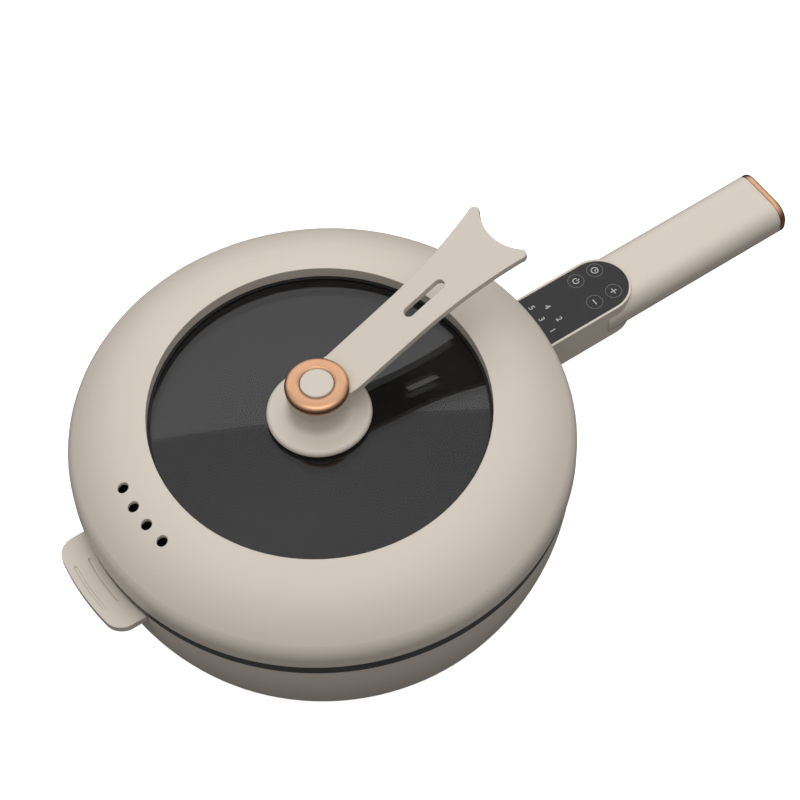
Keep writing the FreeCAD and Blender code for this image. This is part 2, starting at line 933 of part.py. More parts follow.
# Snap-action thermostat: a round can with two fixing ears
thermostat = new_body("thermostat")
pad(
    thermostat,
    "XY_Plane",
    [(s.thermostat_offset, 0, s.thermostat_radius)],
    heater_seat - s.thermostat_height,
    heater_seat,
)
pad(
    thermostat,
    "XY_Plane",
    [
        rectangle(
            s.thermostat_offset - s.thermostat_radius / 2,
            -s.thermostat_ear,
            s.thermostat_offset + s.thermostat_radius / 2,
            s.thermostat_ear,
        )
    ],
    heater_seat - s.strap_thickness,
    heater_seat,
)

# Thermal fuse: a small axial can lying against the spreader
thermal_fuse = document.addObject("Part::Cylinder", "Fuse")
thermal_fuse.Label = "thermal_fuse"
thermal_fuse.setExpression("Radius", s.fuse_radius.text)
thermal_fuse.setExpression("Height", s.fuse_length.text)
thermal_fuse.Placement = FreeCAD.Placement(
    FreeCAD.Vector(0, 0, 0), FreeCAD.Rotation(FreeCAD.Vector(0, 1, 0), 90)
)
thermal_fuse.setExpression("Placement.Base.x", (-s.fuse_length / 2).text)
thermal_fuse.setExpression("Placement.Base.y", s.fuse_offset.text)
thermal_fuse.setExpression("Placement.Base.z", (heater_seat - s.fuse_radius).text)

# Heat shield: a shallow steel dish below the heater, with a hole under the sensor and the wires
heat_shield = new_body("heat_shield")
shield_top = s.shield_level + s.shield_thickness
revolve(
    heat_shield,
    [
        Point(s.spreader_hole_radius, s.shield_level),
        Point(shield_radius, s.shield_level),
        Point(shield_radius, shield_top + s.shield_rim_rise),
        Point(shield_radius - s.shield_thickness, shield_top + s.shield_rim_rise),
        Point(shield_radius - s.shield_thickness, shield_top),
        Point(s.spreader_hole_radius, shield_top),
    ],
)
shield_screw_places = ring_places(
    shield_screw_circle, s.shield_screw_count, s.shield_screw_angle
)
pocket(
    heat_shield,
    "XY_Plane",
    [(x, y, screw_hole) for x, y in shield_screw_places],
    s.shield_level,
    shield_top,
)

# Bottom cover: a round plate with bosses for the shield and the pan's studs, vents and a ring groove
bottom_cover = new_body("bottom_cover")
pad(
    bottom_cover,
    "XY_Plane",
    [(0, 0, cover_radius)],
    cover_underside,
    s.shell_base_level,
)
pad(
    bottom_cover,
    "XY_Plane",
    [(x, y, s.shield_boss_radius) for x, y in shield_screw_places],
    s.shell_base_level,
    s.shield_level,
)
pad(
    bottom_cover,
    "XY_Plane",
    [(x, y, s.cover_boss_radius) for x, y in pan_studs],
    s.shell_base_level,
    stud_foot,
)
pocket(
    bottom_cover,
    "XY_Plane",
    [(0, 0, foot_ring_outer), (0, 0, foot_ring_inner)],
    cover_underside,
    cover_underside + s.foot_ring_seat,
)
pocket(
    bottom_cover,
    "XY_Plane",
    [(x, y, screw_hole) for x, y in shield_screw_places + pan_studs],
    cover_underside,
    stud_foot,
)
pocket(
    bottom_cover,
    "XY_Plane",
    [(x, y, screw_hole) for x, y in bottom_screw_places],
    cover_underside,
    s.shell_base_level,
)
vent_cut = pocket(
    bottom_cover,
    "XY_Plane",
    [long_slot(cover_vent_inner, cover_vent_outer, s.cover_vent_half_width)],
    cover_underside,
    s.shell_base_level,
)
repeat_round(bottom_cover, vent_cut, s.cover_vent_count)

# Rubber ring that the wok stands on
foot_ring = new_body("foot_ring")
foot_ring_top = cover_underside + s.foot_ring_seat
pad(
    foot_ring,
    "XY_Plane",
    [
        (0, 0, foot_ring_outer - s.part_clearance),
        (0, 0, foot_ring_inner + s.part_clearance),
    ],
    0,
    foot_ring_top,
)

# Screws of the underside
bottom_screws = plain_group(
    "bottom_screws",
    [
        screw(
            place,
            UP,
            s.screw_shank_radius,
            s.cover_thickness + s.shell_flange_depth + s.shell_boss_rise - s.seam_slack,
            s.screw_head_radius,
            s.screw_head_height,
        )
        for place in at_level(bottom_screw_places, cover_underside)
    ],
)
pan_screws = plain_group(
    "pan_screws",
    [
        screw(
            place,
            UP,
            s.screw_shank_radius,
            stud_foot - cover_underside + s.pan_stud_depth - s.pan_wall - s.seam_slack,
            s.screw_head_radius,
            s.screw_head_height,
        )
        for place in at_level(pan_studs, cover_underside)
    ],
)
shield_screws = plain_group(
    "shield_screws",
    [
        screw(
            place,
            UP * -1,
            s.screw_shank_radius,
            shield_top - s.shell_base_level,
            s.screw_head_radius,
            s.screw_head_height,
        )
        for place in at_level(shield_screw_places, shield_top)
    ],
)

# Mains inlet: a moulded cup set in the shell's block, open to +X
power_inlet = new_body("power_inlet")
inlet_outline = rounded_rectangle(
    -s.inlet_half_width, inlet_low, s.inlet_half_width, inlet_high, s.inlet_corner
)
inlet_recess = rounded_rectangle(
    -s.inlet_half_width + s.inlet_wall,
    inlet_low + s.inlet_wall,
    s.inlet_half_width - s.inlet_wall,
    inlet_high - s.inlet_wall,
    s.inlet_corner - s.inlet_wall / 2,
)
inlet_pin_places = [
    (-s.inlet_pin_spread, s.inlet_level - s.inlet_pin_rise / 2),
    (s.inlet_pin_spread, s.inlet_level - s.inlet_pin_rise / 2),
    (as_size(0), s.inlet_level + s.inlet_pin_rise / 2),
]
pad(power_inlet, "YZ_Plane", [inlet_outline], inlet_inner, inlet_block_reach)
pocket(
    power_inlet,
    "YZ_Plane",
    [inlet_recess],
    inlet_inner + s.inlet_back,
    inlet_block_reach,
)
pocket(
    power_inlet,
    "YZ_Plane",
    [(y, z, s.inlet_pin_radius) for y, z in inlet_pin_places],
    inlet_inner,
    inlet_inner + s.inlet_back,
)
pin_length = s.inlet_depth - s.inlet_wall
inlet_pins = plain_group(
    "inlet_pins",
    [
        Part.makeCylinder(
            s.inlet_pin_radius.number,
            pin_length.number,
            FreeCAD.Vector(inlet_inner.number, y.number, z.number),
            OUTWARD,
        )
        for y, z in inlet_pin_places
    ],
)

# Handle: a moulded control box with a hollow grip, in one piece
handle_body = new_body("handle_body")
grip_bottom = s.handle_bottom_level
grip_outline = rounded_rectangle(
    -s.grip_half_width, grip_bottom, s.grip_half_width, s.grip_top_level, s.grip_corner
)
grip_bore = rounded_rectangle(
    -s.grip_half_width + s.grip_wall,
    grip_bottom + s.grip_wall,
    s.grip_half_width - s.grip_wall,
    s.grip_top_level - s.grip_wall,
    s.grip_corner - s.grip_wall,
)
box_outline = stadium(handle_root, handle_box_end, s.handle_box_half_width)
panel_half_width = s.handle_box_half_width - s.panel_border
panel_end = handle_box_end - s.panel_border
panel_top = s.handle_box_top - s.panel_sink
panel_seat = panel_top - s.panel_thickness
well_half_width = panel_half_width - s.panel_ledge
well_end = panel_end - s.panel_ledge
well_start = handle_root + s.handle_root_wall
well_floor = grip_bottom + s.handle_box_floor
pad(handle_body, "XY_Plane", [box_outline], grip_bottom, s.handle_box_top)
pad(handle_body, "YZ_Plane", [grip_outline], grip_start, grip_end)
pocket(
    handle_body,
    "XY_Plane",
    [stadium(panel_start, panel_end, panel_half_width)],
    panel_seat,
    s.handle_box_top,
)
pocket(
    handle_body,
    "XY_Plane",
    [stadium(well_start, well_end, well_half_width)],
    well_floor,
    panel_seat,
)
bore_start = handle_box_end + s.handle_root_wall
pocket(handle_body, "YZ_Plane", [grip_bore], bore_start, grip_end)
pocket(
    handle_body,
    "XY_Plane",
    [
        rectangle(
            cover_plate_start - s.part_clearance,
            -s.cover_plate_half_width - s.part_clearance,
            cover_plate_end + s.part_clearance,
            s.cover_plate_half_width + s.part_clearance,
        )
    ],
    grip_bottom,
    well_floor,
)
pocket(
    handle_body,
    "YZ_Plane",
    [
        (-s.bolt_spread, s.bolt_level, bolt_hole),
        (s.bolt_spread, s.bolt_level, bolt_hole),
        (0, s.bolt_level, s.wire_hole_radius),
    ],
    handle_root,
    well_start,
)

# Flat cover under the control box, with the posts that carry both boards
handle_cover = new_body("handle_cover")
cover_plate_top = grip_bottom + s.cover_plate_thickness
pad(
    handle_cover,
    "XY_Plane",
    [
        rectangle(
            cover_plate_start,
            -s.cover_plate_half_width,
            cover_plate_end,
            s.cover_plate_half_width,
        )
    ],
    grip_bottom,
    cover_plate_top,
)
control_board_top = panel_seat - s.control_board_drop
control_board_level = control_board_top - s.board_thickness
board_posts = [
    (x, side * (s.board_half_width - s.post_radius))
    for x in (
        cover_plate_start + s.post_radius,
        cover_plate_end - s.post_radius,
    )
    for side in (-1, 1)
]
pad(
    handle_cover,
    "XY_Plane",
    [(x, y, s.post_radius) for x, y in board_posts],
    cover_plate_top,
    s.power_board_level,
)
pad(
    handle_cover,
    "XY_Plane",
    [(x, y, s.post_radius - s.post_step) for x, y in board_posts],
    s.power_board_level,
    control_board_level,
)

# Steel angle that ties the handle's root to the shell's saddle
handle_bracket = new_body("handle_bracket")
bracket_low = s.bolt_level - s.bracket_height / 2
pad(
    handle_bracket,
    "YZ_Plane",
    [
        rectangle(
            -s.bracket_half_width,
            bracket_low,
            s.bracket_half_width,
            bracket_low + s.bracket_height,
        )
    ],
    well_start,
    well_start + s.bracket_thickness,
)
pocket(
    handle_bracket,
    "YZ_Plane",
    [
        (-s.bolt_spread, s.bolt_level, bolt_hole),
        (s.bolt_spread, s.bolt_level, bolt_hole),
        (0, s.bolt_level, s.wire_hole_radius),
    ],
    well_start,
    well_start + s.bracket_thickness,
)
handle_bolts = plain_group(
    "handle_bolts",
    [
        screw(
            FreeCAD.Vector(bolt_seat.number, side * s.bolt_spread.number, s.bolt_level.number),
            OUTWARD,
            s.bolt_shank_radius,
            well_start + s.bracket_thickness + s.seam_slack - bolt_seat,
            s.bolt_head_radius,
            s.bolt_head_height,
        )
        for side in (-1, 1)
    ],
)

# Rose-gold cap on the grip's end, with a spigot that fits the bore
handle_end_cap = new_body("handle_end_cap")
pad(handle_end_cap, "YZ_Plane", [grip_outline], grip_end, grip_end + s.cap_length)
pad(
    handle_end_cap,
    "YZ_Plane",
    [
        rounded_rectangle(
            -s.grip_half_width + s.grip_wall + s.part_clearance,
            grip_bottom + s.grip_wall + s.part_clearance,
            s.grip_half_width - s.grip_wall - s.part_clearance,
            s.grip_top_level - s.grip_wall - s.part_clearance,
            s.grip_corner - s.grip_wall,
        )
    ],
    grip_end - s.cap_spigot,
    grip_end,
)
document.recompute()
cap_face = (grip_end + s.cap_length).number
cap_edges = [
    f"Edge{index}"
    for index, edge in enumerate(handle_end_cap.Shape.Edges, start=1)
    if all(abs(vertex.X - cap_face) < 1e-6 for vertex in edge.Vertexes)
]
cap_base = handle_end_cap.Tip
cap_rounding = handle_end_cap.newObject("PartDesign::Fillet", "handle_end_cap_rounding")
cap_rounding.Base = (cap_base, cap_edges)
cap_rounding.Radius = s.cap_edge.number
cap_rounding.setExpression("Radius", s.cap_edge.text)

# Touch panel in the box's recess
control_panel = new_body("control_panel")
pad(
    control_panel,
    "XY_Plane",
    [
        stadium(
            panel_start + s.part_clearance,
            panel_end - s.part_clearance,
            panel_half_width - s.part_clearance,
        )
    ],
    panel_seat,
    panel_top,
)

# Circuit boards on the cover's posts: the lower one is slotted over them
board_outline = rectangle(
    board_start,
    -s.board_half_width,
    board_start + s.board_length,
    s.board_half_width,
)
power_board = new_body("power_board")
power_board_top = s.power_board_level + s.board_thickness
pad(power_board, "XY_Plane", [board_outline], s.power_board_level, power_board_top)
pocket(
    power_board,
    "XY_Plane",
    [(x, y, s.post_radius - s.post_step + s.screw_hole_clearance) for x, y in board_posts],
    s.power_board_level,
    power_board_top,
)
control_board = new_body("control_board")
pad(control_board, "XY_Plane", [board_outline], control_board_level, control_board_top)


def block(label, x, y, z, length, width, height):
    """A plain rectangular component centred in x and y, standing at z."""
    box = document.addObject("Part::Box", "Block_" + label)
    box.Label = label
    box.setExpression("Length", length.text)
    box.setExpression("Width", width.text)
    box.setExpression("Height", height.text)
    box.setExpression("Placement.Base.x", (x - length / 2).text)
    box.setExpression("Placement.Base.y", (y - width / 2).text)
    box.setExpression("Placement.Base.z", z.text)
    return box


# Relay and buzzer on the power board
board_middle = board_start + s.board_length / 2
relay = block(
    "relay",
    board_middle - s.relay_length / 2,
    as_size(0),
    power_board_top,
    s.relay_length,
    s.relay_width,
    s.relay_height,
)
buzzer = document.addObject("Part::Cylinder", "Buzzer")
buzzer.Label = "buzzer"
buzzer.setExpression("Radius", s.buzzer_radius.text)
buzzer.setExpression("Height", s.buzzer_height.text)
buzzer.setExpression("Placement.Base.x", (board_middle + s.relay_width / 2).text)
buzzer.setExpression("Placement.Base.z", power_board_top.text)

# Indicator lights under the panel, in two staggered rows
light_places = [(light_row_near, step * s.light_near_spread) for step in (-1, 0, 1)]
light_places += [(light_row_far, side * s.light_far_spread) for side in (-1, 1)]
indicator_lights = plain_group(
    "indicator_lights",
    [
        Part.makeBox(
            s.light_size.number,
            s.light_size.number,
            s.light_height.number,
            FreeCAD.Vector(
                (x - s.light_size / 2).number,
                (y - s.light_size / 2).number,
                control_board_top.number,
            ),
        )
        for x, y in light_places
    ],
)

# Touch pads: conductive foam posts between the control board and the panel, one under each key
touch_pads = plain_group(
    "touch_pads",
    [
        Part.makeCylinder(
            s.touch_pad_radius.number,
            s.control_board_drop.number,
            FreeCAD.Vector(x.number, (side * s.key_half_spread).number, control_board_top.number),
        )
        for x in (key_row_near, key_row_far)
        for side in (-1, 1)
    ],
)

# Helper ear: a plate round the shell with two grip grooves and two screw bosses below
helper_ear = new_body("helper_ear")
ear_inner = shell_top_radius + s.seat_gap
ear_inner_x = on_circle(ear_inner, s.ear_half_width)
ear_corner_y = s.ear_half_width - s.ear_corner
corner_centre_x = on_circle(ear_outer_radius - s.ear_corner, ear_corner_y)
corner_reach = ear_outer_radius / (ear_outer_radius - s.ear_corner)
corner_end_x = corner_centre_x * corner_reach
corner_end_y = ear_corner_y * corner_reach
pad(
    helper_ear,
    "XY_Plane",
    [
        [
            Point(-ear_inner_x, s.ear_half_width, ear_inner, -1),
            Point(-corner_centre_x, s.ear_half_width),
            Point(-corner_end_x, corner_end_y, s.ear_corner, 1),
            Point(-corner_end_x, -corner_end_y, ear_outer_radius, 1),
            Point(-corner_centre_x, -s.ear_half_width, s.ear_corner, 1),
            Point(-ear_inner_x, -s.ear_half_width),
        ]
    ],
    ear_underside,
    ear_top_level,
)


def arc_band(middle, width, half_length):
    """A band on the ear that follows a circle about the pan's axis."""
    inner = middle - width / 2
    outer = middle + width / 2
    return [
        Point(-on_circle(inner, half_length), half_length, inner, -1),
        Point(-on_circle(outer, half_length), half_length),
        Point(-on_circle(outer, half_length), -half_length, outer, 1),
        Point(-on_circle(inner, half_length), -half_length),
    ]


pocket(
    helper_ear,
    "XY_Plane",
    [
        arc_band(ear_groove_inner, s.ear_groove_width, s.ear_groove_half_length),
        arc_band(ear_groove_outer, s.ear_groove_width, s.ear_groove_half_length),
    ],
    ear_top_level - s.ear_groove_depth,
    ear_top_level,
)
ear_boss_end = -ear_inner - s.ear_boss_reach
pad(
    helper_ear,
    "YZ_Plane",
    [(side * s.ear_boss_spread, ear_screw_level, s.ear_boss_radius) for side in (-1, 1)],
    ear_boss_end,
    -ear_inner,
)
pocket(
    helper_ear,
    "YZ_Plane",
    [(side * s.ear_boss_spread, ear_screw_level, screw_hole) for side in (-1, 1)],
    ear_boss_end + s.pan_wall,
    -ear_inner,
)
ear_screw_seat = on_circle(
    shell_top_radius - s.shell_wall - s.seat_gap,
    s.ear_boss_spread + s.screw_head_radius,
)
helper_ear_screws = plain_group(
    "helper_ear_screws",
    [
        screw(
            FreeCAD.Vector(
                -ear_screw_seat.number, side * s.ear_boss_spread.number, ear_screw_level.number
            ),
            OUTWARD * -1,
            s.screw_shank_radius,
            -ear_boss_end - s.pan_wall - s.seam_slack - ear_screw_seat,
            s.screw_head_radius,
            s.screw_head_height,
        )
        for side in (-1, 1)
    ],
)

# Lid rim: a moulded shell whose shoulder runs tangent into a wide crown
lid_rim = new_body("lid_rim")
lid_top = s.lid_seat_level + s.lid_height
shoulder_centre_x = lid_outer_radius - s.lid_shoulder
shoulder_centre_z = s.lid_seat_level + s.lid_side_height
crown_reach = shoulder_centre_x - lid_opening_radius
crown_rise = s.lid_height - s.lid_side_height
crown_radius = (
    crown_reach * crown_reach + crown_rise * crown_rise - s.lid_shoulder * s.lid_shoulder
) / (2 * (crown_rise - s.lid_shoulder))
crown_centre_z = lid_top - crown_radius


def crown_tangent(radius_cut):
    """Where the shoulder meets the crown on the surface that lies inside by the cut."""
    reach = (crown_radius - radius_cut) / (crown_radius - s.lid_shoulder)
    x = lid_opening_radius + crown_reach * reach
    z = crown_centre_z + (shoulder_centre_z - crown_centre_z) * reach
    return x, z


def crown_level(radius_cut, distance):
    """Height of the crown, or of the surface inside it by the cut, at a distance from the axis."""
    reach = distance - lid_opening_radius
    radius = crown_radius - radius_cut
    return crown_centre_z + root(radius * radius - reach * reach)


lip_foot = lid_top - s.lid_lip_depth
lip_outer = lid_opening_radius + s.lid_wall
outer_tangent = crown_tangent(as_size(0))
inner_tangent = crown_tangent(s.lid_wall)
revolve(
    lid_rim,
    [
        Point(lid_outer_radius, s.lid_seat_level),
        Point(lid_outer_radius, shoulder_centre_z),
        Point(*outer_tangent, s.lid_shoulder, 1),
        Point(lid_opening_radius, lid_top, crown_radius, 1),
        Point(lid_opening_radius, lip_foot),
        Point(lip_outer, lip_foot),
        Point(lip_outer, crown_level(s.lid_wall, lip_outer)),
        Point(*inner_tangent, crown_radius - s.lid_wall, -1),
        Point(lid_outer_radius - s.lid_wall, shoulder_centre_z, s.lid_shoulder - s.lid_wall, -1),
        Point(lid_outer_radius - s.lid_wall, s.lid_seat_level),
    ],
)
glass_top = lip_foot - s.glass_seal_height
glass_underside = glass_top - s.glass_thickness
lid_bosses = ring_places(lid_boss_circle, s.lid_screw_count, s.lid_screw_angle)
boss_top = crown_level(s.lid_wall, lid_boss_circle - s.lid_boss_radius) + s.seat_gap
pad(
    lid_rim,
    "XY_Plane",
    [(x, y, s.lid_boss_radius) for x, y in lid_bosses],
    glass_underside,
    boss_top,
)
pocket(
    lid_rim,
    "XY_Plane",
    [(x, y, screw_hole) for x, y in lid_bosses],
    glass_underside,
    boss_top - s.lid_wall,
)
vent_middle = (s.vent_count - 1) / 2
vent_turns = [
    s.vent_angle + (index - vent_middle) * s.vent_pitch_angle
    for index in range(int(s.vent_count.number))
]
vents = [(vent_circle * cosine(turn), vent_circle * sine(turn)) for turn in vent_turns]
pocket(
    lid_rim,
    "XY_Plane",
    [(x, y, s.vent_radius) for x, y in vents],
    glass_top,
    lid_top,
)

# Liner: the inner moulding that clamps the glass and drops into the pan's mouth
lid_liner = new_body("lid_liner")
skirt_outer = s.pan_opening_radius - s.liner_skirt_clearance
skirt_foot = rim_seat - s.liner_skirt_drop
liner_edge = lid_outer_radius - s.lid_wall - s.liner_rim_gap
liner_cone_top = liner_flat_radius - s.liner_wall / 4
revolve(
    lid_liner,
    [
        Point(liner_inner_radius, glass_underside),
        Point(liner_inner_radius, glass_underside - s.liner_wall),
        Point(liner_cone_top, glass_underside - s.liner_wall),
        Point(skirt_outer - s.liner_wall, rim_seat + s.liner_wall / 2),
        Point(skirt_outer - s.liner_wall, skirt_foot),
        Point(skirt_outer, skirt_foot),
        Point(skirt_outer, rim_seat),
        Point(liner_edge, rim_seat),
        Point(liner_edge, rim_seat + s.liner_wall),
        Point(skirt_outer, rim_seat + s.liner_wall),
        Point(liner_flat_radius, glass_underside),
    ],
)
pocket(
    lid_liner,
    "XY_Plane",
    [(x, y, screw_hole) for x, y in lid_bosses],
    glass_underside - s.liner_wall,
    glass_underside,
)
pocket(
    lid_liner,
    "XY_Plane",
    [(x, y, s.vent_radius) for x, y in vents],
    rim_seat,
    glass_underside,
)
lid_screws = plain_group(
    "lid_screws",
    [
        screw(
            place,
            UP,
            s.screw_shank_radius,
            s.liner_wall + boss_top - s.lid_wall - glass_underside - s.seam_slack,
            s.screw_head_radius,
            s.screw_head_height,
        )
        for place in at_level(lid_bosses, glass_underside - s.liner_wall)
    ],
)

# Seal between the rim's lip and the glass
glass_seal = new_body("glass_seal")
pad(
    glass_seal,
    "XY_Plane",
    [(0, 0, lip_outer + s.liner_rim_gap), (0, 0, glass_seal_inner)],
    glass_top,
    lip_foot,
)

# Glass: a flat band under the lip and a slight dome inside it
lid_glass = new_body("lid_glass")
dome_radius = (glass_band_radius * glass_band_radius + s.glass_dome * s.glass_dome) / (
    2 * s.glass_dome
)
hole_sag = dome_radius - root(dome_radius * dome_radius - s.glass_hole_radius * s.glass_hole_radius)
glass_apex = glass_top + s.glass_dome
revolve(
    lid_glass,
    [
        Point(s.glass_hole_radius, glass_apex - hole_sag, dome_radius, 1),
        Point(s.glass_hole_radius, glass_apex - s.glass_thickness - hole_sag),
        Point(glass_band_radius, glass_underside, dome_radius, -1),
        Point(glass_radius, glass_underside),
        Point(glass_radius, glass_top),
        Point(glass_band_radius, glass_top),
    ],
)

# Knob stack: washer, base, arm, ring and button, clamped through the glass by one bolt
knob_washer = new_body("knob_washer")
washer_top = glass_apex + s.washer_height
pad(
    knob_washer,
    "XY_Plane",
    [(0, 0, s.washer_radius), (0, 0, s.bolt_bore_radius)],
    glass_apex,
    washer_top,
)
knob_base = new_body("knob_base")
disc_top = washer_top + s.knob_disc_height
disc_lower_edge = s.knob_disc_height - s.knob_disc_edge
neck_top = s.lid_seat_level + s.knob_neck_level
revolve(
    knob_base,
    [
        Point(s.bolt_bore_radius, washer_top),
        Point(s.knob_disc_radius - disc_lower_edge, washer_top),
        Point(s.knob_disc_radius, washer_top + disc_lower_edge, disc_lower_edge, 1),
        Point(s.knob_disc_radius - s.knob_disc_edge, disc_top, s.knob_disc_edge, 1),
        Point(s.knob_neck_radius + s.knob_neck_curve, disc_top),
        Point(s.knob_neck_radius, disc_top + s.knob_neck_curve, s.knob_neck_curve, -1),
        Point(s.knob_neck_radius, neck_top),
        Point(s.bolt_bore_radius, neck_top),
    ],
)

# Stand arm: a flat eye under the ring, bent up into a blade with a slot and a notched end
stand_arm = new_body("stand_arm")
arm_top = neck_top + s.arm_thickness
pad(
    stand_arm,
    "XY_Plane",
    [(0, 0, s.arm_root_radius)],
    neck_top,
    arm_top,
)
pad(
    stand_arm,
    "XY_Plane",
    [rectangle(0, -s.arm_root_half_width, s.arm_bend_start, s.arm_root_half_width)],
    neck_top,
    arm_top,
)
waist = s.arm_waist_distance - s.arm_bend_start
flare_end = s.arm_flare_end - s.arm_bend_start
tip_end = s.arm_tip_distance - s.arm_bend_start
blade_sketch = new_sketch(stand_arm, "XY_Plane")
blade_sketch.AttachmentOffset = FreeCAD.Placement(
    FreeCAD.Vector(s.arm_bend_start.number, 0, neck_top.number),
    FreeCAD.Rotation(FreeCAD.Vector(0, -1, 0), s.arm_rise_angle.number),
)
blade_sketch.setExpression("AttachmentOffset.Base.x", s.arm_bend_start.text)
blade_sketch.setExpression("AttachmentOffset.Base.z", neck_top.text)
blade_sketch.setExpression("AttachmentOffset.Rotation.Angle", s.arm_rise_angle.text)
draw(
    blade_sketch,
    [
        Point(0, -s.arm_root_half_width),
        Point(waist, -s.arm_waist_half_width),
        Point(flare_end, -s.arm_tip_half_width, s.arm_side_curve, -1),
        Point(tip_end, -s.arm_notch_half_width, s.arm_tip_radius, 1),
        Point(tip_end, s.arm_notch_half_width, s.arm_notch_curve, -1),
        Point(flare_end, s.arm_tip_half_width, s.arm_tip_radius, 1),
        Point(waist, s.arm_waist_half_width, s.arm_side_curve, -1),
        Point(0, s.arm_root_half_width),
    ],
)
draw(
    blade_sketch,
    long_slot(s.slot_start - s.arm_bend_start, s.slot_end - s.arm_bend_start, s.slot_half_width),
)
blade = stand_arm.newObject("PartDesign::Pad", "stand_arm_blade")
blade.Profile = blade_sketch
blade.setExpression("Length", s.arm_thickness.text)
pocket(stand_arm, "XY_Plane", [(0, 0, s.bolt_bore_radius)], neck_top, arm_top)
stand_arm.setExpression("Placement.Rotation.Angle", s.arm_turn_angle.text)

# Rose-gold ring with an inner floor for the nut
knob_ring = new_body("knob_ring")
ring_top = arm_top + s.ring_height
nut_seat = arm_top + s.ring_floor
revolve(
    knob_ring,
    [
        Point(s.bolt_bore_radius, arm_top),
        Point(s.ring_radius - s.ring_edge, arm_top),
        Point(s.ring_radius, arm_top + s.ring_edge, s.ring_edge, 1),
        Point(s.ring_radius, ring_top - s.ring_bevel),
        Point(s.ring_radius - s.ring_bevel, ring_top, s.ring_bevel, 1),
        Point(s.ring_bore, ring_top),
        Point(s.ring_bore, nut_seat),
        Point(s.bolt_bore_radius, nut_seat),
    ],
)
knob_button = new_body("knob_button")
button_top = ring_top + s.button_proud
revolve(
    knob_button,
    [
        Point(0, button_top - s.button_height),
        Point(s.button_radius, button_top - s.button_height),
        Point(s.button_radius, button_top - s.button_edge),
        Point(s.button_radius - s.button_edge, button_top, s.button_edge, 1),
        Point(0, button_top),
    ],
)

# Clamping stack below the glass: soft washer, steel cup, bolt and nut
lower_washer = new_body("lower_washer")
lower_washer_top = glass_apex - s.glass_thickness - s.glass_curve_gap
lower_washer_foot = lower_washer_top - s.lower_washer_height
pad(
    lower_washer,
    "XY_Plane",
    [(0, 0, s.lower_washer_radius), (0, 0, s.bolt_bore_radius)],
    lower_washer_foot,
    lower_washer_top,
)
steel_cup = new_body("steel_cup")
cup_foot = lower_washer_foot - s.steel_cup_height
pad(
    steel_cup,
    "XY_Plane",
    [(0, 0, s.steel_cup_radius), (0, 0, s.bolt_bore_radius)],
    cup_foot,
    lower_washer_foot,
)
knob_bolt = new_body("knob_bolt")
nut_top = nut_seat + s.knob_nut_height
revolve(
    knob_bolt,
    [
        Point(0, cup_foot - s.knob_bolt_head_height),
        Point(s.knob_bolt_head_radius, cup_foot - s.knob_bolt_head_height),
        Point(s.knob_bolt_head_radius, cup_foot),
        Point(s.knob_bolt_radius, cup_foot),
        Point(s.knob_bolt_radius, nut_top),
        Point(0, nut_top),
    ],
)
knob_nut = new_body("knob_nut")
hexagon = [
    Point(x, y) for x, y in ring_places(s.knob_nut_radius, as_size(6), as_size(0))
]
pad(knob_nut, "XY_Plane", [hexagon, (0, 0, s.knob_bolt_radius)], nut_seat, nut_top)

document.recompute()

# Every feature and every sub-part is sound before anything is written
for item in document.Objects:
    if "Invalid" in item.State or "Error" in item.State:
        raise RuntimeError(f"{item.Label} did not build: {item.State}")
sub_parts = [
    item
    for item in document.Objects
    if item.TypeId in ("PartDesign::Body", "Part::Feature", "Part::Box", "Part::Cylinder")
]
for item in sub_parts:
    if item.Shape.isNull() or not item.Shape.isValid():
        raise RuntimeError(f"{item.Label} has no sound shape")
os.makedirs("parts", exist_ok=True)
for item in sub_parts:
    item.Shape.exportStep(f"parts/{item.Label}.step")
print(len(sub_parts), "sub-parts written")
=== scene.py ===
import math

import bmesh
import bpy
from mathutils import Matrix, Vector


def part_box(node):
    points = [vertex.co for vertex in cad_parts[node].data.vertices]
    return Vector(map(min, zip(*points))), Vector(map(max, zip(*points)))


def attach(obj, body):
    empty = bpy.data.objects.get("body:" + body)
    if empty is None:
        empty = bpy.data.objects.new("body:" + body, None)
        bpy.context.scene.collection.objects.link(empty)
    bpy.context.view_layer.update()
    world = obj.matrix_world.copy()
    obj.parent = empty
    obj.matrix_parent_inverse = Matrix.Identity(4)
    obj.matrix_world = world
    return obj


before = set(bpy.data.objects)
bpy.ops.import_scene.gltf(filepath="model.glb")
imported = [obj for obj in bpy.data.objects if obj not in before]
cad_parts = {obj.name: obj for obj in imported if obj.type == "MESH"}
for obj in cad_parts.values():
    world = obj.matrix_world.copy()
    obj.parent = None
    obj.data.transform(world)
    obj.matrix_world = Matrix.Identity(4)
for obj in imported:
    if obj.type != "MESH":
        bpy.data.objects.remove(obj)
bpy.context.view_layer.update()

# Outer shell: the heated base's skirt, one injection moulding in warm cream plastic with a
# satin, very finely textured face. It is screwed to the bottom cover from below, and the
# handle's saddle is moulded on it.


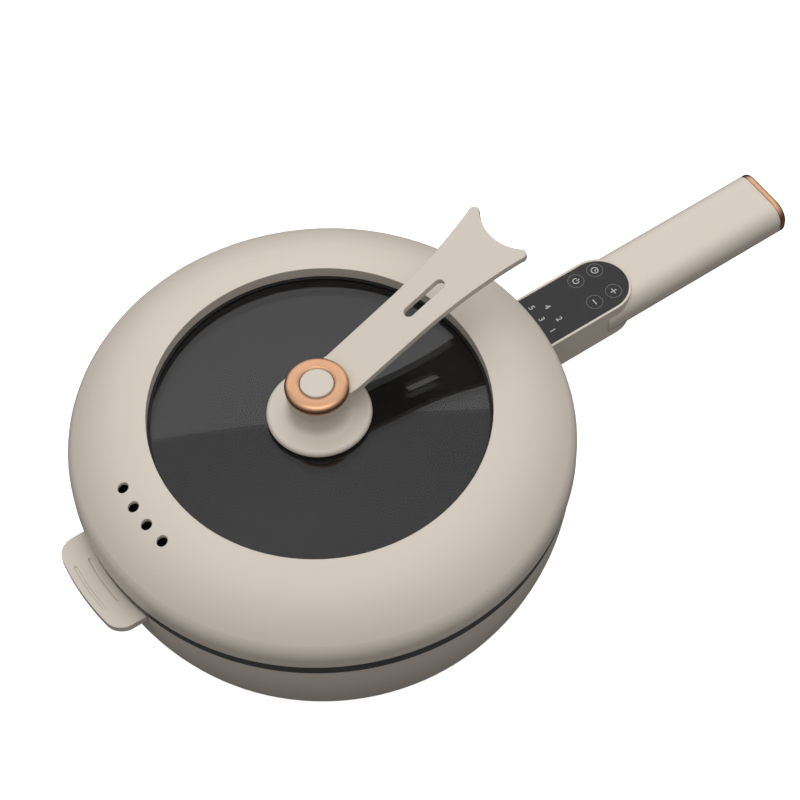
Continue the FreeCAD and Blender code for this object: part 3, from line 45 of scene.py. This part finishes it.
class Finish:
    """A procedural material: the shader's own settings, and textures that vary them in place."""

    noise_low, noise_high = 0.3, 0.7
    edge_samples = 6

    def __init__(self, name, **settings):
        self.material = bpy.data.materials.new(name)
        self.material.use_nodes = True
        self.nodes = self.material.node_tree.nodes
        self.links = self.material.node_tree.links
        self.shader = self.nodes["Principled BSDF"]
        for label, value in settings.items():
            self.shader.inputs[label.replace("_", " ")].default_value = value
        self.place = self.nodes.new("ShaderNodeTexCoord").outputs["Object"]

    def join(self, source, target):
        self.links.new(source, target)
        return self

    def texture(self, kind, scale):
        """A texture laid in the piece's own metres, so scale is in waves or cells to the metre."""
        node = self.nodes.new(kind)
        node.inputs["Scale"].default_value = scale
        self.join(self.place, node.inputs["Vector"])
        return node

    def noise(self, scale, detail=2.0):
        """Cloudy variation."""
        node = self.texture("ShaderNodeTexNoise", scale)
        node.inputs["Detail"].default_value = detail
        return node.outputs["Fac"]

    def rings(self, scale, wobble):
        """Fine rings about the vertical axis, as a lathe leaves."""
        node = self.texture("ShaderNodeTexWave", scale)
        node.wave_type = "RINGS"
        node.rings_direction = "Z"
        node.inputs["Distortion"].default_value = wobble
        return node.outputs["Fac"]

    def specks(self, scale):
        """Distance to the nearest of many scattered points, as a share of their spacing."""
        return self.texture("ShaderNodeTexVoronoi", scale).outputs["Distance"]

    def colour(self, source, first, second, start=noise_low, end=noise_high):
        """Base colour between two tones along the source."""
        node = self.nodes.new("ShaderNodeValToRGB")
        stops = node.color_ramp.elements
        for stop, position, tone in ((stops[0], start, first), (stops[1], end, second)):
            stop.position = position
            stop.color = (*tone, 1)
        self.join(source, node.inputs["Fac"])
        return self.join(node.outputs["Color"], self.shader.inputs["Base Color"])

    def roughness(self, source, low, high):
        """Roughness between two values along the source."""
        node = self.nodes.new("ShaderNodeMapRange")
        node.inputs["From Min"].default_value = self.noise_low
        node.inputs["From Max"].default_value = self.noise_high
        node.inputs["To Min"].default_value = low
        node.inputs["To Max"].default_value = high
        self.join(source, node.inputs["Value"])
        return self.join(node.outputs["Result"], self.shader.inputs["Roughness"])

    def relief(self, source, depth, edge=None):
        """A fine surface relief of that depth in metres, and edges eased by a small radius."""
        bump = self.nodes.new("ShaderNodeBump")
        bump.inputs["Distance"].default_value = depth
        self.join(source, bump.inputs["Height"])
        if edge:
            bevel = self.nodes.new("ShaderNodeBevel")
            bevel.samples = self.edge_samples
            bevel.inputs["Radius"].default_value = edge
            self.join(bevel.outputs["Normal"], bump.inputs["Normal"])
        return self.join(bump.outputs["Normal"], self.shader.inputs["Normal"])


def dress(finish, *nodes):
    """Give CAD nodes their finish."""
    for node in nodes:
        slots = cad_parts[node].data.materials
        slots.clear()
        slots.append(finish.material)


cream = Finish("cream_satin_plastic", Metallic=0.0, IOR=1.5, Coat_Weight=0.12, Coat_Roughness=0.3)
cream.colour(cream.noise(7.0, detail=3.0), first=(0.755, 0.678, 0.584), second=(0.78, 0.703, 0.609))
cream.roughness(cream.noise(260.0, detail=3.0), low=0.36, high=0.46)
cream.relief(cream.noise(1900.0), depth=0.000012, edge=0.0009)
dress(cream, "outer_shell")

# Pan: a spun aluminium bowl with a rolled rim, coated inside and out with a dark grey
# non-stick finish that holds fine lighter flecks. It hangs by its rim on the shell's ledge.
coat = Finish("fleck_nonstick_coat", Metallic=0.0, IOR=1.45)
coat.colour(
    coat.specks(420.0), first=(0.20, 0.20, 0.20), second=(0.064, 0.064, 0.066), start=0.06, end=0.10
)
coat.roughness(coat.noise(180.0, detail=4.0), low=0.30, high=0.44)
dress(coat, "pan")

# Pan seal: a black silicone ring, pushed on the shell's ledge under the pan's rolled rim.
# It keeps spills out of the base and shows only as the dark line of the seam.
silicone = Finish("black_silicone", Metallic=0.0, IOR=1.41)
silicone.colour(silicone.noise(60.0, detail=4.0), first=(0.010, 0.010, 0.011), second=(0.018, 0.018, 0.019))
silicone.roughness(silicone.noise(420.0), low=0.52, high=0.68)
silicone.relief(silicone.noise(1500.0), depth=0.00001, edge=0.0003)
dress(silicone, "pan_seal")

# Heat spreader and sensor cup: turned aluminium. The spreader is pressed to the pan's
# underside, and the cup touches the pan through the hole in its middle.
turned = Finish("turned_aluminium", Metallic=1.0)
turned.colour(turned.noise(40.0, detail=3.0), first=(0.70, 0.70, 0.71), second=(0.80, 0.80, 0.81))
turned.roughness(turned.rings(420.0, wobble=0.4), low=0.28, high=0.42)
turned.relief(turned.rings(700.0, wobble=0.3), depth=0.00001)
dress(turned, "heat_spreader", "temperature_sensor")

# Heating element: a steel tube bent to an open ring and brazed to the spreader, with heat
# tint along it. Two plated terminal pins stand out of its cold ends.
tube = Finish("heat_tinted_tube", Metallic=1.0)
tube.colour(tube.noise(55.0, detail=4.0), first=(0.26, 0.23, 0.20), second=(0.42, 0.40, 0.38))
tube.roughness(tube.noise(300.0, detail=3.0), low=0.38, high=0.55)
tube.relief(tube.noise(1300.0), depth=0.00001)
dress(tube, "heating_element")

# Small steel parts under the pan: the heater's pins, the sensor's spring strap, the thermal
# fuse and the pressed heat shield. All are zinc-plated sheet or wire.
zinc = Finish("zinc_plated_steel", Metallic=1.0)
zinc.colour(zinc.noise(90.0, detail=4.0), first=(0.55, 0.56, 0.57), second=(0.68, 0.68, 0.67))
zinc.roughness(zinc.noise(500.0, detail=4.0), low=0.26, high=0.42)
zinc.relief(zinc.noise(1400.0), depth=0.000008, edge=0.0002)
dress(zinc, "heater_terminals", "sensor_strap", "thermal_fuse", "heat_shield")

# Black mouldings: the snap-action thermostat's body and the bottom cover, which closes the
# base and carries every screw. The cover has a dull spark-eroded texture.
black = Finish("black_eroded_plastic", Metallic=0.0, IOR=1.5)
black.colour(black.noise(25.0, detail=3.0), first=(0.018, 0.018, 0.019), second=(0.027, 0.027, 0.028))
black.roughness(black.noise(350.0, detail=4.0), low=0.46, high=0.62)
black.relief(black.noise(1600.0, detail=3.0), depth=0.00004, edge=0.0004)
dress(black, "thermostat", "bottom_cover")

# Foot ring: soft black silicone, pressed into the cover's round groove. The wok stands on it.
dress(silicone, "foot_ring")

# Screws of the underside and the shield: zinc-plated steel, driven up through the cover.
dress(zinc, "bottom_screws", "pan_screws", "shield_screws")

# Mains inlet: a black moulded cup in the shell's block under the handle, with three plated
# brass pins pressed through its back wall.
brass = Finish("plated_brass_pins", Metallic=1.0)
brass.colour(brass.noise(300.0, detail=3.0), first=(0.70, 0.58, 0.34), second=(0.80, 0.70, 0.46))
brass.roughness(brass.noise(900.0, detail=3.0), low=0.20, high=0.34)
dress(black, "power_inlet")
dress(brass, "inlet_pins")

# Handle: a hollow cream moulding with the control box at its root, closed below by a flat
# cover. A steel plate and two bolts tie it to the shell's saddle.
dress(cream, "handle_body", "handle_cover")
dress(zinc, "handle_bracket", "handle_bolts")

# End cap: plated plastic in polished rose gold under clear lacquer, pushed into the grip's
# bore by its spigot.
gold = Finish("polished_rose_gold", Metallic=1.0, Coat_Weight=0.6, Coat_Roughness=0.05)
gold.colour(gold.noise(30.0, detail=3.0), first=(0.58, 0.31, 0.17), second=(0.64, 0.35, 0.20))
gold.roughness(gold.noise(240.0, detail=4.0), low=0.11, high=0.17)
gold.relief(gold.noise(160.0), depth=0.000006, edge=0.0036)
dress(gold, "handle_end_cap")

# Control panel: gloss black plastic, glued in the box's recess over the touch pads. Its key
# rings and marks are printed on the face in grey ink.
gloss = Finish("gloss_black_panel", Metallic=0.0, IOR=1.4)
gloss.colour(gloss.noise(50.0), first=(0.010, 0.010, 0.011), second=(0.014, 0.014, 0.015))
gloss.roughness(gloss.noise(220.0, detail=3.0), low=0.16, high=0.24)
gloss.relief(gloss.noise(120.0, detail=1.0), depth=0.000004)
dress(gloss, "control_panel")

ring_ink = Finish("key_ring_ink", Metallic=0.0, IOR=1.45)
ring_ink.colour(ring_ink.noise(1200.0), first=(0.13, 0.13, 0.13), second=(0.17, 0.17, 0.17))
ring_ink.roughness(ring_ink.noise(900.0), low=0.40, high=0.55)
mark_ink = Finish("panel_mark_ink", Metallic=0.0, IOR=1.45)
mark_ink.colour(mark_ink.noise(1200.0), first=(0.48, 0.48, 0.48), second=(0.56, 0.56, 0.55))
mark_ink.roughness(mark_ink.noise(900.0), low=0.40, high=0.55)

panel_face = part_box("control_panel")[1].z
ink_height = 0.00006
key_columns = (0.1940, 0.2083)
key_rows = (0.0109, -0.0084)
key_places = [(x, y) for x in key_columns for y in key_rows]
ring_sizes = {"Ring radius": 0.0050, "Line width": 0.00055, "Ink height": 2 * ink_height}
ring_corners = 48


def new_piece(name, mesh):
    piece = bpy.data.objects.new(name, mesh)
    bpy.context.scene.collection.objects.link(piece)
    return piece


def evaluated_mesh(source):
    """The plain mesh that a piece's modifiers or lettering come to. The source piece goes."""
    graph = bpy.context.evaluated_depsgraph_get()
    mesh = bpy.data.meshes.new_from_object(source.evaluated_get(graph))
    bpy.data.objects.remove(source)
    return mesh


ring_tree = bpy.data.node_groups.new("printed_key_rings", "GeometryNodeTree")
ring_tree.interface.new_socket("Centres", in_out="INPUT", socket_type="NodeSocketGeometry")
for size_name in ring_sizes:
    ring_tree.interface.new_socket(size_name, in_out="INPUT", socket_type="NodeSocketFloat")
ring_tree.interface.new_socket("Rings", in_out="OUTPUT", socket_type="NodeSocketGeometry")
ring_nodes = ring_tree.nodes
ring_input = ring_nodes.new("NodeGroupInput")
ring_circle = ring_nodes.new("GeometryNodeCurvePrimitiveCircle")
ring_circle.inputs["Resolution"].default_value = ring_corners
ring_profile = ring_nodes.new("GeometryNodeCurvePrimitiveQuadrilateral")
ring_sweep = ring_nodes.new("GeometryNodeCurveToMesh")
ring_copies = ring_nodes.new("GeometryNodeInstanceOnPoints")
ring_real = ring_nodes.new("GeometryNodeRealizeInstances")
ring_finish = ring_nodes.new("GeometryNodeSetMaterial")
ring_finish.inputs["Material"].default_value = ring_ink.material
ring_output = ring_nodes.new("NodeGroupOutput")
for source, target in [
    (ring_input.outputs["Ring radius"], ring_circle.inputs["Radius"]),
    (ring_input.outputs["Line width"], ring_profile.inputs["Width"]),
    (ring_input.outputs["Ink height"], ring_profile.inputs["Height"]),
    (ring_circle.outputs["Curve"], ring_sweep.inputs["Curve"]),
    (ring_profile.outputs["Curve"], ring_sweep.inputs["Profile Curve"]),
    (ring_input.outputs["Centres"], ring_copies.inputs["Points"]),
    (ring_sweep.outputs["Mesh"], ring_copies.inputs["Instance"]),
    (ring_copies.outputs["Instances"], ring_real.inputs["Geometry"]),
    (ring_real.outputs["Geometry"], ring_finish.inputs["Geometry"]),
    (ring_finish.outputs["Geometry"], ring_output.inputs["Rings"]),
]:
    ring_tree.links.new(source, target)

centres = bpy.data.meshes.new("key_centres")
centres.from_pydata([(x, y, panel_face) for x, y in key_places], [], [])
key_points = new_piece("key_points", centres)
ring_maker = key_points.modifiers.new("rings", "NODES")
ring_maker.node_group = ring_tree
for item in ring_tree.interface.items_tree:
    if item.name in ring_sizes:
        ring_maker[item.identifier] = ring_sizes[item.name]
ring_mesh = evaluated_mesh(key_points)
ring_mesh.name = "key_rings"
key_rings = new_piece("key_rings", ring_mesh)
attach(key_rings, "base")

# Key marks: an arc with a stroke for power, a bar for less, a dial for the timer and a cross
# for more, printed in lighter ink inside the rings.
stroke = 0.00064
bold_stroke = stroke * 1.15
hand_stroke = stroke * 0.9


def bar(place, across, along, length, width):
    """A straight mark centred at a place, with its long side turned by (across, along)."""
    return [
        (
            place[0] + a * across * length / 2 - b * along * width / 2,
            place[1] + a * along * length / 2 + b * across * width / 2,
        )
        for a, b in ((-1, -1), (1, -1), (1, 1), (-1, 1))
    ]


def arc(place, radius, width, start, end, steps=18):
    """An open ring mark between two angles in degrees."""
    turns = [math.radians(start + (end - start) * step / steps) for step in range(steps + 1)]
    there = [(radius + width / 2, turn) for turn in turns]
    back = [(radius - width / 2, turn) for turn in reversed(turns)]
    return [(place[0] + r * math.cos(turn), place[1] + r * math.sin(turn)) for r, turn in there + back]


power_key, minus_key, clock_key, plus_key = key_places
outlines = [
    arc(power_key, radius=0.0019, width=stroke, start=35, end=325),
    bar((power_key[0] + 0.0015, power_key[1]), 1, 0, length=0.0021, width=stroke),
    bar(minus_key, 0, 1, length=0.0042, width=bold_stroke),
    arc(clock_key, radius=0.0021, width=stroke, start=0, end=179.9),
    arc(clock_key, radius=0.0021, width=stroke, start=180, end=359.9),
    bar((clock_key[0] + 0.0007, clock_key[1]), 1, 0, length=0.0014, width=hand_stroke),
    bar((clock_key[0], clock_key[1] - 0.0006), 0, 1, length=0.0012, width=hand_stroke),
    bar(plus_key, 0, 1, length=0.0042, width=bold_stroke),
    bar((plus_key[0] + 0.0014, plus_key[1]), 1, 0, length=0.0015, width=bold_stroke),
    bar((plus_key[0] - 0.0014, plus_key[1]), 1, 0, length=0.0015, width=bold_stroke),
]
mark_form = bmesh.new()
for outline in outlines:
    low = [mark_form.verts.new((x, y, panel_face)) for x, y in outline]
    high = [mark_form.verts.new((x, y, panel_face + ink_height)) for x, y in outline]
    mark_form.faces.new(high)
    mark_form.faces.new(low[::-1])
    for index in range(len(outline)):
        after = (index + 1) % len(outline)
        mark_form.faces.new((low[index], low[after], high[after], high[index]))
bmesh.ops.recalc_face_normals(mark_form, faces=mark_form.faces)
mark_mesh = bpy.data.meshes.new("key_marks")
mark_form.to_mesh(mark_mesh)
mark_form.free()
mark_mesh.materials.append(mark_ink.material)
key_marks = new_piece("key_marks", mark_mesh)
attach(key_marks, "base")

# Level marks: five plain numbers printed over the indicator lights, in two staggered rows.
# They read from the pan's side, with their tops toward the grip.
level_places = [
    (0.1607, -0.0108), (0.1690, -0.0061), (0.1602, -0.0002), (0.1685, 0.0053), (0.1602, 0.0102),
]
number_height = 0.0039
letter_size = number_height * 1.42
line_boldness = 0.00007
curve_steps = 3
weld_distance = 1e-6
reading_turn = Matrix.Rotation(-math.pi / 2, 4, "Z")
number_form = bmesh.new()
for index, (x, y) in enumerate(level_places):
    text = bpy.data.curves.new(f"level_{index + 1}", "FONT")
    text.body = str(index + 1)
    text.size = letter_size
    text.extrude = ink_height / 2
    text.offset = line_boldness
    text.align_x = "CENTER"
    text.resolution_u = curve_steps
    number = evaluated_mesh(new_piece(f"level_text_{index + 1}", text))
    foot = Vector((x - number_height / 2, y, panel_face + ink_height / 2))
    number.transform(Matrix.Translation(foot) @ reading_turn)
    number_form.from_mesh(number)
bmesh.ops.remove_doubles(number_form, verts=number_form.verts, dist=weld_distance)
bmesh.ops.recalc_face_normals(number_form, faces=number_form.faces)
number_mesh = bpy.data.meshes.new("level_numbers")
number_form.to_mesh(number_mesh)
number_form.free()
number_mesh.materials.clear()
number_mesh.materials.append(mark_ink.material)
level_numbers = new_piece("level_numbers", number_mesh)
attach(level_numbers, "base")

# Circuit boards: glass-fibre boards with green solder mask over copper tracks, on the
# cover's posts. A relay and a buzzer stand on the lower one, lights and foam pads on the upper.
board = Finish("green_solder_mask", Metallic=0.0, IOR=1.5)
tracks = board.texture("ShaderNodeTexBrick", 160.0)
for part_of_board, tone in (
    ("Color1", (0.012, 0.11, 0.045)), ("Color2", (0.016, 0.14, 0.055)), ("Mortar", (0.03, 0.20, 0.08))
):
    tracks.inputs[part_of_board].default_value = (*tone, 1)
board.join(tracks.outputs["Color"], board.shader.inputs["Base Color"])
board.roughness(board.noise(400.0), low=0.28, high=0.42)
lens = Finish("milky_light_lens", Metallic=0.0, IOR=1.49, Subsurface_Weight=0.2)
lens.colour(lens.noise(500.0), first=(0.72, 0.72, 0.70), second=(0.82, 0.82, 0.80))
lens.roughness(lens.noise(800.0), low=0.22, high=0.32)
dress(board, "control_board", "power_board")
dress(black, "relay", "buzzer")
dress(lens, "indicator_lights")
dress(silicone, "touch_pads")

# Helper ear: a cream moulded plate opposite the handle, with two shallow grip grooves. Two
# screws from inside the shell hold its bosses.
dress(cream, "helper_ear")
dress(zinc, "helper_ear_screws")

# Lid rim and liner: a cream shell that rolls from its side into a wide crown, and the black
# inner ring that clamps the glass to it. Six screws join them from below, and four bores let
# the steam out.
dress(cream, "lid_rim")
dress(black, "lid_liner")
dress(zinc, "lid_screws")

# Lid glass: tempered glass with a dark grey body tint that lets the pan show faintly,
# slightly domed, on a black silicone seal under the rim's lip.
glass = Finish("grey_tinted_glass", Metallic=0.0, IOR=1.8, Alpha=0.45)
glass.colour(glass.noise(20.0, detail=1.0), first=(0.0080, 0.0080, 0.0081), second=(0.0088, 0.0088, 0.0089))
glass.roughness(glass.noise(90.0), low=0.0, high=0.012)
dress(silicone, "glass_seal")
dress(glass, "lid_glass")

# Knob: a cream moulded disc with a round neck, on a soft washer on the glass.
dress(silicone, "knob_washer")
dress(cream, "knob_base")

# Stand arm: a cream moulded blade, held flat on the neck and bent up over the handle side.
# It lifts the lid, stands it on edge, and its slot hangs it up.
dress(cream, "stand_arm")

# Knob ring and button: a rose-gold plated ring that hides the nut, and the cream disc
# pressed into it.
dress(gold, "knob_ring")
dress(cream, "knob_button")

# Clamping stack below the glass: a soft washer, a polished steel cup, and the bolt and nut
# that hold the whole knob.
polished = Finish("polished_steel", Metallic=1.0)
polished.colour(polished.noise(60.0), first=(0.74, 0.74, 0.75), second=(0.80, 0.80, 0.80))
polished.roughness(polished.rings(900.0, wobble=0.2), low=0.10, high=0.18)
dress(silicone, "lower_washer")
dress(polished, "steel_cup")
dress(zinc, "knob_bolt", "knob_nut")

# Floor: a plain pale sweep, not part of the wok. It glows softly of its own, so that the
# wok leaves almost no shadow on it.
floor_reach = 12.0
floor_level = -0.0004
floor_mesh = bpy.data.meshes.new("floor")
floor_mesh.from_pydata(
    [(x * floor_reach, y * floor_reach, floor_level) for x, y in ((-1, -1), (1, -1), (1, 1), (-1, 1))],
    [],
    [(0, 1, 2, 3)],
)
floor = new_piece("floor", floor_mesh)
paper = Finish("pale_paper", Emission_Color=(1, 1, 1, 1), Emission_Strength=0.80, IOR=1.3)
paper.colour(paper.noise(3.0), first=(0.90, 0.90, 0.90), second=(0.91, 0.91, 0.91))
paper.roughness(paper.noise(40.0), low=0.85, high=0.95)
floor_mesh.materials.append(paper.material)
floor.visible_diffuse = False
floor.visible_glossy = False

# Room: dim low down and bright overhead, as in a product studio, with each tone set at the
# sine of its height in the sky. The camera sees plain white instead.
low_tone = (0.09, 0.088, 0.085, 1)
sky_tones = ((0.15, 0.13), (0.45, 0.36), (0.75, 0.78), (0.91, 0.92))
zenith_tone = 2.2
world = bpy.data.worlds.new("studio_room")
bpy.context.scene.world = world
world.use_nodes = True
room = world.node_tree.nodes
direction = room.new("ShaderNodeTexCoord")
height = room.new("ShaderNodeSeparateXYZ")
ramp = room.new("ShaderNodeValToRGB")
ramp.color_ramp.interpolation = "EASE"
ramp.color_ramp.elements[0].color = low_tone
ramp.color_ramp.elements[1].color = (zenith_tone, zenith_tone, zenith_tone, 1)
for sine, tone in sky_tones:
    ramp.color_ramp.elements.new(sine).color = (tone, tone, tone, 1)
ray = room.new("ShaderNodeLightPath")
seen = room.new("ShaderNodeMixRGB")
seen.inputs["Color2"].default_value = (1, 1, 1, 1)
for source, target in [
    (direction.outputs["Generated"], height.inputs["Vector"]),
    (height.outputs["Z"], ramp.inputs["Fac"]),
    (ray.outputs["Is Camera Ray"], seen.inputs["Fac"]),
    (ramp.outputs["Color"], seen.inputs["Color1"]),
    (seen.outputs["Color"], room["Background"].inputs["Color"]),
]:
    world.node_tree.links.new(source, target)

# Soft box: one wide light over the far side, whose edge crosses the glass as a reflection.
handle_turn = math.radians(28.9)
away = Vector((math.sin(handle_turn), math.cos(handle_turn), 0))
soft_box_away, soft_box_height = 1.5, 1.15
lid_middle = Vector((0, 0, 0.1))
soft_box = bpy.data.lights.new("soft_box", "AREA")
soft_box.shape = "RECTANGLE"
soft_box.size = 2.6
soft_box.size_y = 1.5
soft_box.energy = 7.0
soft_box_holder = bpy.data.objects.new("soft_box", soft_box)
bpy.context.scene.collection.objects.link(soft_box_holder)
soft_box_holder.location = away * soft_box_away + Vector((0, 0, soft_box_height))
aim = lid_middle - soft_box_holder.location
soft_box_holder.rotation_mode = "QUATERNION"
soft_box_holder.rotation_quaternion = aim.to_track_quat("-Z", "Y")

# Camera: the photograph's view, from high on the pan's near side, with a long lens. Its
# place, tilt and lens were fitted to the photographed ellipses of the lid and the base.
elevation = math.radians(57.16)
roll = math.radians(5.28)
camera_distance = 1.5
pivot = Vector((0, 0, 0.098))
level_right = Vector((math.cos(handle_turn), -math.sin(handle_turn), 0))
level_up = away * math.sin(elevation) + Vector((0, 0, math.cos(elevation)))
forward = away * math.cos(elevation) - Vector((0, 0, math.sin(elevation)))
camera_right = level_right * math.cos(roll) - level_up * math.sin(roll)
camera_up = level_right * math.sin(roll) + level_up * math.cos(roll)
camera_lens = bpy.data.cameras.new("camera")
camera_lens.sensor_width = 36.0
camera_lens.lens = 114.08
camera_lens.shift_x = 0.0973
camera_lens.shift_y = 0.0530
camera = bpy.data.objects.new("camera", camera_lens)
bpy.context.scene.collection.objects.link(camera)
turn = Matrix((camera_right, camera_up, -forward)).transposed().to_4x4()
camera.matrix_world = Matrix.Translation(pivot - forward * camera_distance) @ turn
bpy.context.scene.camera = camera
bpy.context.scene.view_settings.view_transform = "Standard"
